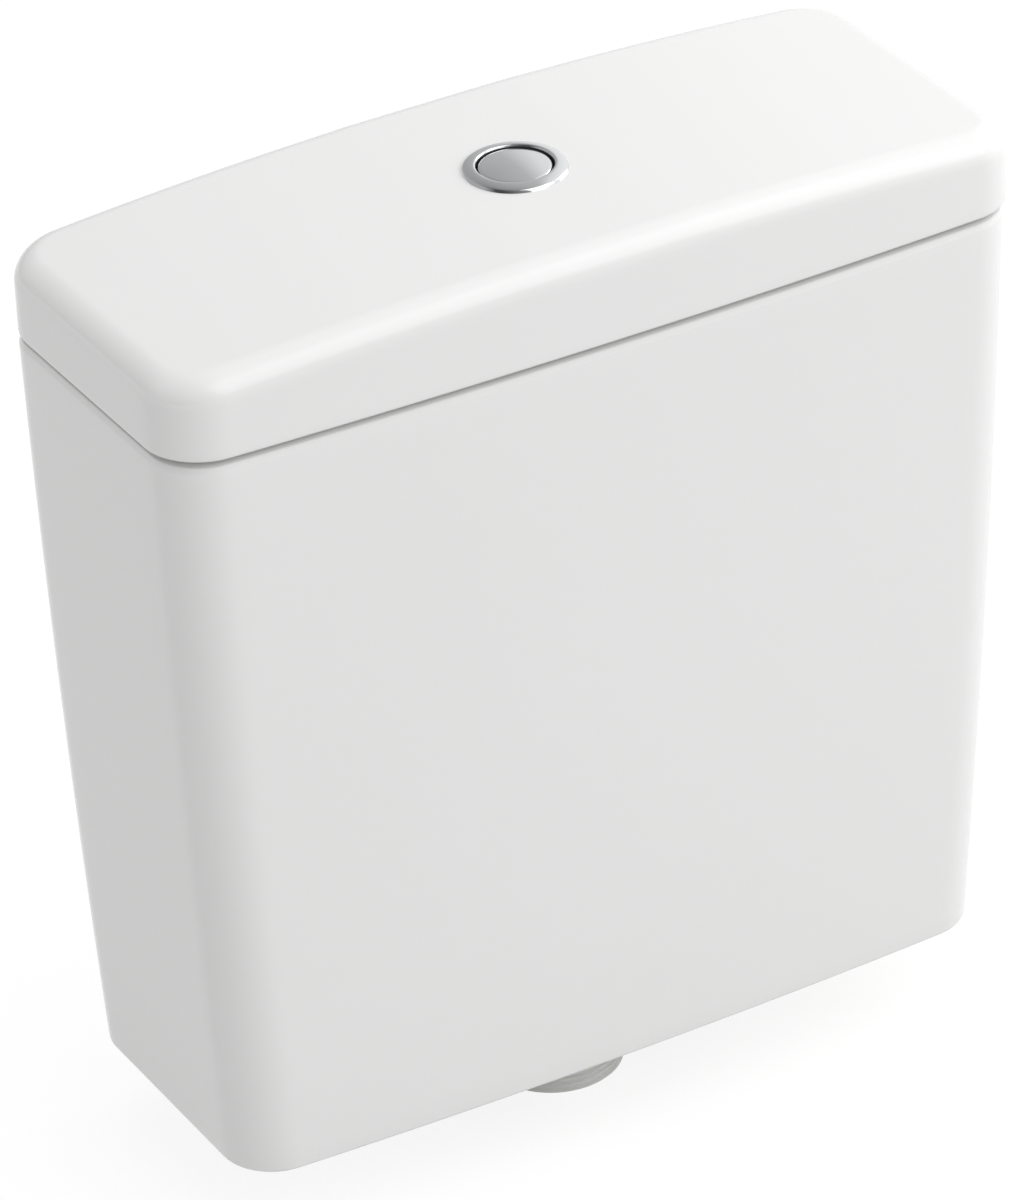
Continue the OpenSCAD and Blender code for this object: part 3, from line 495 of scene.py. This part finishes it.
def crownCap(shell, ring, hole):
    sides = plan["sideSteps"] - 1
    count = (len(ring) - 2 * sides) // 2
    front, right = ring[:count], ring[count:count + sides]
    back, left = ring[count + sides:2 * count + sides], ring[2 * count + sides:]
    back = back[::-1]
    middle = (count - 1) // 2
    first, last = middle - plan["hubSteps"] // 2, middle + plan["hubSteps"] // 2
    for k in range(count - 1):
        if first <= k < last:
            continue
        face = [front[k], front[k + 1]] + (right if k == count - 2 else []) + [back[k + 1], back[k]]
        shell.faces.append(tuple(face + (left if k == 0 else [])))
    shell.cap(front[first:last + 1] + back[first:last + 1][::-1], [hole])


def lidBody():
    s = lidShape
    edge, arcs, lip = seat - s["base"] - crownAt(0.0), s["arcRows"], s["lip"]
    ceiling = edge - s["thick"]
    rows = [(ceiling - s["vault"] * (1 - math.sin(a)), s["wallInset"] + s["vault"] * (1 - math.cos(a)),
             0.5 + 0.5 * math.sin(a)) for a in [math.radians(90 - 90 * k / arcs) for k in range(arcs + 1)]]
    innerTop = ceiling - s["vault"]
    rows += [(innerTop + (s["lipRound"] - lip - innerTop) * k / s["sideRows"], s["wallInset"],
              0.5 * (1 - k / s["sideRows"])) for k in range(1, s["sideRows"])]
    lipArc = arcPoints(s["lipRound"], s["lipSteps"])
    rows += [(s["lipRound"] - lip - v, s["wallInset"] - s["lipRound"] + u, 0.0) for u, v in lipArc]
    rows += [(s["lipRound"] - lip - v, s["lipInset"] + s["lipRound"] - u, 0.0) for u, v in reversed(lipArc)]
    rows += [(z, s["lipInset"] - shift, 0.0) for z, shift in s["cove"]]
    edgeArc = arcPoints(s["edgeRound"], s["edgeSteps"])
    rows += [(s["edgeRound"] - v, s["edgeRound"] - u, 0.0) for u, v in reversed(edgeArc)]
    wallTop = edge - s["round"]
    wallLow = s["edgeRound"]
    rows += [(wallLow + (wallTop - wallLow) * k / s["sideRows"], 0.0, k / s["sideRows"])
             for k in range(1, s["sideRows"])]
    rows += [(wallTop + v, s["round"] - u, 1.0) for u, v in arcPoints(s["round"], arcs)]
    rows += [(edge, s["round"] + extra, 1.0) for extra in s["topRows"]]
    shell = Shell()
    placed = shell.loft([lidRing(*row) for row in rows])
    centre, radius = s["hole"]
    bore = shell.loft([circle(centre, radius, z, holes["count"])
                       for z in (seat - s["thick"], seat - s["thick"] / 2, seat)])
    crownCap(shell, placed[0], bore[0])
    crownCap(shell, placed[-1], bore[-1])
    shellPiece("lidBody", shell, "glaze", ["cistern_lid"])


tankBody()
lidBody()
print("ceramic made")


# turned pieces: a section swept round an axis, each row a radius and a height,
# then the depth of a helical groove and the number of flats, both optional

threadForm = dict(fade=1.5, perTurn=8, slope=1.7, crest=0.35, lead=1.0, start=0.2, gap=0.1, stop=0.3)
axis = 0.02  # radius of the small ring that closes a solid piece at its axis


def threadRows(radius, low, high, pitch, depth):
    fade = threadForm["fade"] * pitch
    count = max(2, int(round((high - low) / pitch * threadForm["perTurn"])))
    rows = []
    for k in range(count + 1):
        z = low + (high - low) * k / count
        end = min(1.0, (z - low) / fade, (high - z) / fade)
        rows.append((radius, z, depth * max(0.0, end)))
    return rows


def hexRows(radius, low, high, edge):
    return [(r, z, 0.0, 6) for r, z in ((radius, low), (radius, high - edge), (radius - edge, high))]


def flatShare(angle, flats):
    if not flats:
        return 1.0
    half = math.pi / flats
    return math.cos(half) / math.cos(angle % (2 * half) - half)


def turned(shell, section, centre=(0.0, 0.0), count=96, pitch=1.0, closed=True):
    rings = []
    for row in section:
        radius, z, depth, flats = (*row, 0.0, 0)[:4]
        ring = []
        for k in range(count):
            angle = 2 * math.pi * k / count
            phase = (z / pitch - k / count) % 1.0
            groove = abs(2 * phase - 1) * threadForm["slope"] - threadForm["crest"]
            groove = min(1.0, max(0.0, groove))
            r = (radius - depth * groove) * flatShare(angle, flats)
            ring.append((centre[0] + r * math.cos(angle), centre[1] + r * math.sin(angle), z))
        rings.append(ring)
    placed = shell.loft(rings)
    if closed:
        shell.skin(placed[-1], placed[0])
    else:
        shell.cap(placed[0])
        shell.cap(placed[-1])
    return shell


bezelShape = dict(bore=15.75, outer=21.5, rim=2.4, sleeve=18.8, sleeveWall=1.5, sleeveLength=34.0,
                  guideDepth=28.0, boreRow=6.0, edge=0.5, threadStart=0.6, threadTop=4.0,
                  pitch=2.0, depth=0.7,
                  innerFace=((0.0, 1.0), (0.08, 0.55), (0.28, 0.2), (0.6, 0.03), (0.95, 0.0), (1.8, 0.1),
                             (3.0, 0.36), (4.1, 0.68)),
                  outerFace=((0.95, 0.98), (0.66, 1.16), (0.46, 1.38), (0.22, 1.88)))


def buttonBezel():
    b = bezelShape
    bore, outer, rim, sleeve = b["bore"], b["outer"], b["rim"], b["sleeve"]
    low, step = seat - b["sleeveLength"], seat - b["guideDepth"]
    inner = sleeve - b["sleeveWall"]
    face = [(bore + across, rim - drop) for across, drop in b["innerFace"]]
    face += [(outer - across, rim - drop) for across, drop in b["outerFace"]]
    face += [(outer, 0.0)]
    section = [(r, seat + z) for r, z in reversed(face)]
    section += [(bore, seat - b["boreRow"]), (bore, step), (inner, step), (inner, low)]
    section += [(sleeve - b["edge"], low), (sleeve, low + b["edge"])]
    section += threadRows(sleeve, low + b["threadStart"], seat - b["threadTop"], b["pitch"], b["depth"])
    section += [(sleeve, seat)]
    shell = turned(Shell(), section, count=meshing["plateCount"], pitch=b["pitch"])
    shellPiece("buttonBezel", shell, "plate", ["button_bezel"], meshing["plateAngle"])


buttonShape = dict(radius=15.25, edgeUp=1.5, domeRadius=80.0, domeRows=22, edgeRound=1.6, edgeSteps=10,
                   skirt=12.0, skirtEdge=0.4, wall=1.8, capThick=2.5, stem=4.5, stemLow=46.0, stemEdge=0.5,
                   bore=3.05, boreDepth=20.0)


def pushButton():
    b = buttonShape
    radius, ball, edge, stem = b["radius"], b["domeRadius"], b["edgeRound"], b["stem"]
    flat = (radius - edge) / (1 - edge / ball)
    slope = math.asin(flat / ball)
    top = seat + b["edgeUp"]
    inner, under, skirtLow = radius - b["wall"], top - b["capThick"], top - b["skirt"]
    stemEnd = seat - b["stemLow"]
    boreEnd = stemEnd + b["boreDepth"]
    radii = [axis] + [flat * k / b["domeRows"] for k in range(1, b["domeRows"] + 1)]
    section = [(r, top + math.sqrt(ball * ball - r * r) - ball * math.cos(slope)) for r in radii]
    edgeArc = arcPoints(edge, b["edgeSteps"], 0.0, 90.0 - math.degrees(slope))
    section += [(radius - edge + u, top + v - edge * math.cos(slope)) for u, v in reversed(edgeArc[:-1])]
    section += [(radius, skirtLow + b["skirtEdge"]), (radius - b["skirtEdge"], skirtLow)]
    section += [(inner, skirtLow), (inner, under), (stem, under)]
    section += [(stem, stemEnd + b["stemEdge"]), (stem - b["stemEdge"], stemEnd)]
    section += [(b["bore"], stemEnd), (b["bore"], boreEnd), (axis, boreEnd)]
    shell = turned(Shell(), section, count=meshing["plateCount"], closed=False)
    shellPiece("pushButton", shell, "plate", ["push_button"], meshing["plateAngle"])


springShape = dict(radius=10.0, wire=0.6, turns=6, stepsPerTurn=36, sides=12, ease=0.06, travel=10.0)


def coilSpring():
    c = springShape
    low, high = (v.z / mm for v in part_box("button_spring"))
    first, last = low + c["wire"], high - c["wire"]
    steps = c["turns"] * c["stepsPerTurn"]
    rings = []
    for k in range(steps + 1):
        share = k / steps
        angle = 2 * math.pi * c["turns"] * share
        z = first + (last - first) * (share - c["ease"] * math.sin(2 * math.pi * share))
        ring = []
        for side in range(c["sides"]):
            turn = 2 * math.pi * side / c["sides"]
            r = c["radius"] + c["wire"] * math.cos(turn)
            ring.append((r * math.cos(angle), r * math.sin(angle), z + c["wire"] * math.sin(turn)))
        rings.append(ring)
    shell = Shell()
    placed = shell.loft(rings)
    shell.cap(placed[0])
    shell.cap(placed[-1])
    obj = shellPiece("buttonSpring", shell, "steel", ["button_spring"])
    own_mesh(obj)


buttonBezel()
pushButton()
coilSpring()
print("button made")


# threaded fittings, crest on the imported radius

def threadedShank(t):
    form = threadForm
    bore, outer, low, (cutLow, cutHigh) = t["bore"], t["outer"], t["low"], t["relief"]
    root, (under, over) = outer - t["reliefDepth"], t["flangeEdges"]
    lead = form["lead"]
    rows = [(bore, low + t["boreEdge"]), (bore + t["boreEdge"], low)]
    rows += [(outer - lead, low), (outer, low + lead)]
    rows += threadRows(outer, low + lead + form["start"], cutLow - form["gap"], t["pitch"], t["depth"])
    rows += [(outer, cutLow), (root, cutLow), (root, cutHigh), (outer, cutHigh)]
    rows += threadRows(outer, cutHigh + form["gap"], t["flangeLow"] - form["stop"], t["pitch"], t["depth"])
    rows += [(outer, t["flangeLow"]), (t["flange"] - under, t["flangeLow"])]
    rows += [(t["flange"], t["flangeLow"] + under), (t["flange"], t["flangeHigh"] - over)]
    return rows + [(t["flange"] - over, t["flangeHigh"])]


tailShape = dict(bore=25.5, boreEdge=0.5, outer=29.8, low=-38.0, relief=(-19.2, -18.0), reliefDepth=0.8,
                 flange=43.0, flangeLow=23.0, flangeHigh=27.0, flangeEdges=(0.5, 0.8), seatHigh=31.0,
                 seatLip=((1.0, 4.0), (-0.8, 0.4), (-1.3, 0.0)), lipEdge=0.6, pitch=2.4, depth=1.0)


def valveBase():
    t = tailShape
    high, lip = t["seatHigh"], t["lipEdge"]
    section = threadedShank(t)
    section += [(t["outer"] + shift, high - drop) for shift, drop in t["seatLip"]]
    section += [(t["bore"] + lip, high), (t["bore"], high - lip)]
    shell = turned(Shell(), section, pitch=t["pitch"])
    shellPiece("valveBase", shell, "white_plastic", ["valve_base"])


pipeShape = dict(centre=(138.0, 0.0), bore=5.2, boreEdge=0.4, outer=10.48, low=-34.0, relief=(-3.2, -2.0),
                 reliefDepth=0.8, flange=17.0, flangeLow=23.0, flangeHigh=28.0, flangeEdges=(0.4, 0.6),
                 hex=15.0, hexHigh=34.0, hexEdge=0.6, pipe=9.0, pipeFoot=0.8, pipeHigh=262.0, pipeEdge=0.5,
                 count=72, pitch=1.8, depth=0.75)


def fillStandpipe():
    t = pipeShape
    pipe, high, hexHigh = t["pipe"], t["pipeHigh"], t["hexHigh"]
    section = threadedShank(t)
    section += hexRows(t["hex"], t["flangeHigh"], hexHigh, t["hexEdge"])
    section += [(pipe + t["pipeFoot"], hexHigh), (pipe, hexHigh + t["pipeFoot"])]
    section += [(pipe, high - t["pipeEdge"]), (pipe - t["pipeEdge"], high), (t["bore"], high)]
    shell = turned(Shell(), section, t["centre"], t["count"], t["pitch"])
    shellPiece("fillStandpipe", shell, "white_plastic", ["fill_standpipe"])


boltShape = dict(place=75.0, low=-36.0, point=(1.1, 1.2), stud=3.98, studHigh=1.0, neck=3.28, shank=4.4,
                 shankLow=1.6, plain=6.0, head=9.0, headLow=25.0, headHigh=30.7, headEdge=0.3,
                 dome=((0.0, 2.0), (0.3, 1.2), (1.2, 0.5), (3.0, 0.1)), count=40, pitch=1.25, depth=0.55)


def couplingBolts():
    t = boltShape
    low, stud, shank, head, edge = t["low"], t["stud"], t["shank"], t["head"], t["headEdge"]
    studHigh, shankLow, headLow = t["studHigh"], t["shankLow"], t["headLow"]
    gap, (across, up) = threadForm["gap"], t["point"]
    section = [(axis, low), (stud - across, low), (stud, low + up)]
    section += threadRows(stud, low + up + gap, studHigh - gap, t["pitch"], t["depth"])
    section += [(stud, studHigh), (t["neck"], studHigh), (t["neck"], shankLow), (shank, shankLow)]
    section += threadRows(shank, shankLow + gap, headLow - t["plain"], t["pitch"], t["depth"])
    section += [(shank, headLow), (head - edge, headLow), (head, headLow + edge)]
    section += [(head - inset, t["headHigh"] - drop) for inset, drop in t["dome"]]
    section += [(axis, t["headHigh"])]
    shell = Shell()
    for side in (-1, 1):
        turned(shell, section, (side * t["place"], 0.0), t["count"], t["pitch"], closed=False)
    shellPiece("couplingBolts", shell, "steel", ["coupling_bolts"])


rodShape = dict(radius=3.0, foot=7.0, footHigh=4.0, footEdge=1.0, edge=0.5, plain=6.0, count=40, pitch=1.25,
                depth=0.5)


def pushRod():
    t = rodShape
    radius, foot, footEdge, edge = t["radius"], t["foot"], t["footEdge"], t["edge"]
    low, high = (v.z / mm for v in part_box("push_rod"))
    footTop = low + t["footHigh"]
    section = [(axis, low), (foot - footEdge, low), (foot, low + footEdge), (foot, footTop - edge)]
    section += [(foot - edge, footTop), (radius, footTop)]
    section += threadRows(radius, low + t["plain"], high - edge, t["pitch"], t["depth"])
    section += [(radius - edge, high), (axis, high)]
    shell = turned(Shell(), section, count=t["count"], pitch=t["pitch"], closed=False)
    shellPiece("pushRod", shell, "white_plastic", ["push_rod"])


screwShape = dict(radius=2.5, edge=0.5, collar=5.0, collarThick=2.5, collarDrops=(16.48, 8.0), hex=4.0,
                  hexHigh=5.5, count=36, pitch=1.25, depth=0.5)


def levelScrew():
    t = screwShape
    radius, collar, edge = t["radius"], t["collar"], t["edge"]
    lowCorner, highCorner = (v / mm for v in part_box("level_screw"))
    centre = ((lowCorner.x + highCorner.x) / 2, 0.0)
    low, high = lowCorner.z, highCorner.z
    threadLow = low + edge + threadForm["gap"]
    threadHigh = high - t["collarDrops"][0] - threadForm["start"]
    section = [(axis, low), (radius - edge, low), (radius, low + edge)]
    section += threadRows(radius, threadLow, threadHigh, t["pitch"], t["depth"])
    for drop in t["collarDrops"]:
        foot, top = high - drop, high - drop + t["collarThick"]
        section += [(radius, foot), (collar, foot), (collar, top), (radius, top)]
    section += hexRows(t["hex"], high - t["hexHigh"], high, edge) + [(axis, high)]
    shell = turned(Shell(), section, centre, t["count"], t["pitch"], closed=False)
    shellPiece("levelScrew", shell, "red_plastic", ["level_screw"])


valveBase()
fillStandpipe()
couplingBolts()
pushRod()
levelScrew()
print("threaded fittings made")


# every other node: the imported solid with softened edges

slotOf = dict(
    lid_pads="pad", button_guide="white_plastic", stem_clip="steel", rod_locknut="blue_plastic",
    bezel_gasket="rubber", bezel_nut="white_plastic", window_cage="white_plastic", base_washer="rubber",
    base_backnut="white_plastic", coupling_washer="rubber", valve_tower="grey_plastic",
    overflow_tube="blue_plastic", seal_carrier="blue_plastic", flush_seal="seal",
    seal_retainer="blue_plastic", flush_float="white_plastic", lift_collar="red_plastic",
    rocker_left="yellow_plastic", rocker_right="yellow_plastic", rocker_pins="steel",
    press_bridge="white_plastic", inlet_washer="rubber", inlet_backnut="brass", fill_head="grey_plastic",
    valve_diaphragm="rubber", head_cap="blue_plastic", float_arm="white_plastic", arm_pin="steel",
    fill_float="white_plastic", discharge_tube="white_plastic", inlet_filter="blue_plastic",
    bolt_seals="rubber", bolt_washers="steel", bolt_nuts="steel")
softEdges = dict(width=0.35, wide=0.9, wideNodes=("coupling_washer", "bolt_seals", "base_washer"), angle=32.0,
                 segments=2, weld=1e-6, flatAngle=0.5)


def camelName(node):
    first, *rest = node.split("_")
    return first + "".join(word.capitalize() for word in rest)


def softened(node):
    mesh = nodes[node].data.copy()
    mesh.name = camelName(node)
    bm = bmesh.new()
    bm.from_mesh(mesh)
    bmesh.ops.remove_doubles(bm, verts=bm.verts, dist=softEdges["weld"])
    flatAngle = math.radians(softEdges["flatAngle"])
    bmesh.ops.dissolve_limit(bm, angle_limit=flatAngle, verts=bm.verts, edges=bm.edges)
    bm.to_mesh(mesh)
    bm.free()
    obj = bpy.data.objects.new(camelName(node), mesh)
    finishPiece(obj, bodyOf[node], slotOf[node], [node])
    mesh.shade_smooth()
    edge = obj.modifiers.new("softEdge", "BEVEL")
    edge.width = softEdges["wide" if node in softEdges["wideNodes"] else "width"] * mm
    edge.segments = softEdges["segments"]
    edge.limit_method = "ANGLE"
    edge.angle_limit = math.radians(softEdges["angle"])
    edge.harden_normals = True


for nodeName in slotOf:
    softened(nodeName)
print("fittings made:", len(slotOf))


# stage: pale floor, soft light, the photograph's viewpoint

stage = dict(floorTone=(0.62, 0.62, 0.62), floorHalf=6.0, keepShadow=0.35, whiteLevel=1.30,
             white=(1.0, 1.0, 1.0), ambient=(0.577, 0.577, 0.577),
             mirrored=[(0.12, 0.07), (0.38, 0.26), (0.60, 0.42), (0.71, 0.55), (0.765, 0.86), (0.84, 1.0)],
             backLeft=[(0.30, 0.0), (0.55, 1.0)], backLeftTone=(0.45, 0.45, 0.45))


def rayKinds(graph, names):
    kinds = [graph.node("ShaderNodeLightPath", out=name) for name in names]
    seen = kinds[0]
    for kind in kinds[1:]:
        seen = graph.node("ShaderNodeMath", {"operation": "MAXIMUM"}, {0: seen, 1: kind})
    return seen


def paleFloor():
    material = bpy.data.materials.new("paleFloor")
    material.use_nodes = True
    graph = Graph(material.node_tree)
    plain = graph.node("ShaderNodeBsdfDiffuse", {}, {"Color": rgba(stage["floorTone"])})
    white = graph.node("ShaderNodeEmission", {},
                       {"Color": rgba(stage["white"]), "Strength": stage["whiteLevel"]})
    seen = rayKinds(graph, ("Is Camera Ray", "Is Glossy Ray", "Is Transmission Ray"))
    mixed = graph.node("ShaderNodeMixShader", {}, {0: seen * (1 - stage["keepShadow"]), 1: plain, 2: white})
    graph.node("ShaderNodeOutputMaterial", {}, {"Surface": mixed})
    half, z = stage["floorHalf"], cadBox[0].z
    mesh = bpy.data.meshes.new("paleFloor")
    corners = [(-half, -half, z), (half, -half, z), (half, half, z), (-half, half, z)]
    mesh.from_pydata(corners, [], [(0, 1, 2, 3)])
    obj = bpy.data.objects.new("paleFloor", mesh)
    bpy.context.scene.collection.objects.link(obj)
    mesh.materials.append(material)


def studioWorld():
    world = bpy.data.worlds.new("studio")
    world.use_nodes = True
    bpy.context.scene.world = world
    graph = Graph(world.node_tree)
    direction = graph.node("ShaderNodeTexCoord", out="Generated")
    across = graph.node("ShaderNodeSeparateXYZ", {}, {0: direction}, out="X")
    along = graph.node("ShaderNodeSeparateXYZ", {}, {0: direction}, out="Y")
    mirrored = graph.ramp(across * 0.5 + 0.5, stage["mirrored"])
    backLeft = graph.ramp(along * 0.5 - across * 0.5, stage["backLeft"])
    mirrored = graph.blend(backLeft, mirrored, rgba(stage["backLeftTone"]))
    tone = graph.blend(rayKinds(graph, ("Is Glossy Ray",)), rgba(stage["ambient"]), mirrored)
    tone = graph.blend(rayKinds(graph, ("Is Camera Ray", "Is Transmission Ray")), tone, rgba(stage["white"]))
    back = graph.node("ShaderNodeBackground", {}, {"Color": tone, "Strength": 1.0})
    graph.node("ShaderNodeOutputWorld", {}, {"Surface": back})


# the top lamp only fills: glaze and plate don't mirror it
lampAim = (0.0, 0.0, 0.25)
lamps = dict(key=dict(place=(1.8, -3.1, 3.4), size=5.0, power=102.0, mirrored=True),
             top=dict(place=(0.1, 0.4, 3.0), size=1.6, power=8.5, mirrored=False),
             side=dict(place=(1.3, 0.0, 0.8), size=0.9, power=4.2, mirrored=True))


def softLamp(name):
    lamp = lamps[name]
    data = bpy.data.lights.new(name + "Lamp", "AREA")
    data.shape = "SQUARE"
    data.size = lamp["size"]
    data.energy = lamp["power"]
    obj = bpy.data.objects.new(name + "Lamp", data)
    obj.location = lamp["place"]
    obj.visible_glossy = lamp["mirrored"]
    aim = Vector(lampAim) - Vector(lamp["place"])
    obj.rotation_mode = "QUATERNION"
    obj.rotation_quaternion = aim.to_track_quat("-Z", "Y")
    bpy.context.scene.collection.objects.link(obj)


viewpoint = dict(azimuth=-28.96, elevation=30.99, roll=-2.55, distance=3.04839,
                 target=(-0.0436, -0.06372, 0.23337), focalPixels=7674.39, imageHeight=1200, sensor=36.0,
                 clip=(0.1, 50.0))


def photoCamera():
    v = viewpoint
    azimuth, elevation, roll = (math.radians(v[k]) for k in ("azimuth", "elevation", "roll"))
    back = Vector((math.sin(azimuth) * math.cos(elevation), -math.cos(azimuth) * math.cos(elevation),
                   math.sin(elevation)))
    right = Vector((math.cos(azimuth), math.sin(azimuth), 0.0))
    up = back.cross(right)
    rolledRight = right * math.cos(roll) + up * math.sin(roll)
    rolledUp = up * math.cos(roll) - right * math.sin(roll)
    data = bpy.data.cameras.new("photoCamera")
    data.sensor_width = v["sensor"]
    data.lens = v["focalPixels"] * v["sensor"] / v["imageHeight"]
    data.clip_start, data.clip_end = v["clip"]
    camera = bpy.data.objects.new("photoCamera", data)
    turn = Matrix((rolledRight, rolledUp, back)).transposed().to_4x4()
    camera.matrix_world = Matrix.Translation(Vector(v["target"]) + back * v["distance"]) @ turn
    bpy.context.scene.collection.objects.link(camera)
    bpy.context.scene.camera = camera


bpy.context.scene.view_settings.view_transform = "Standard"
photoCamera()
studioWorld()
for lampName in lamps:
    softLamp(lampName)
paleFloor()
print("stage made")
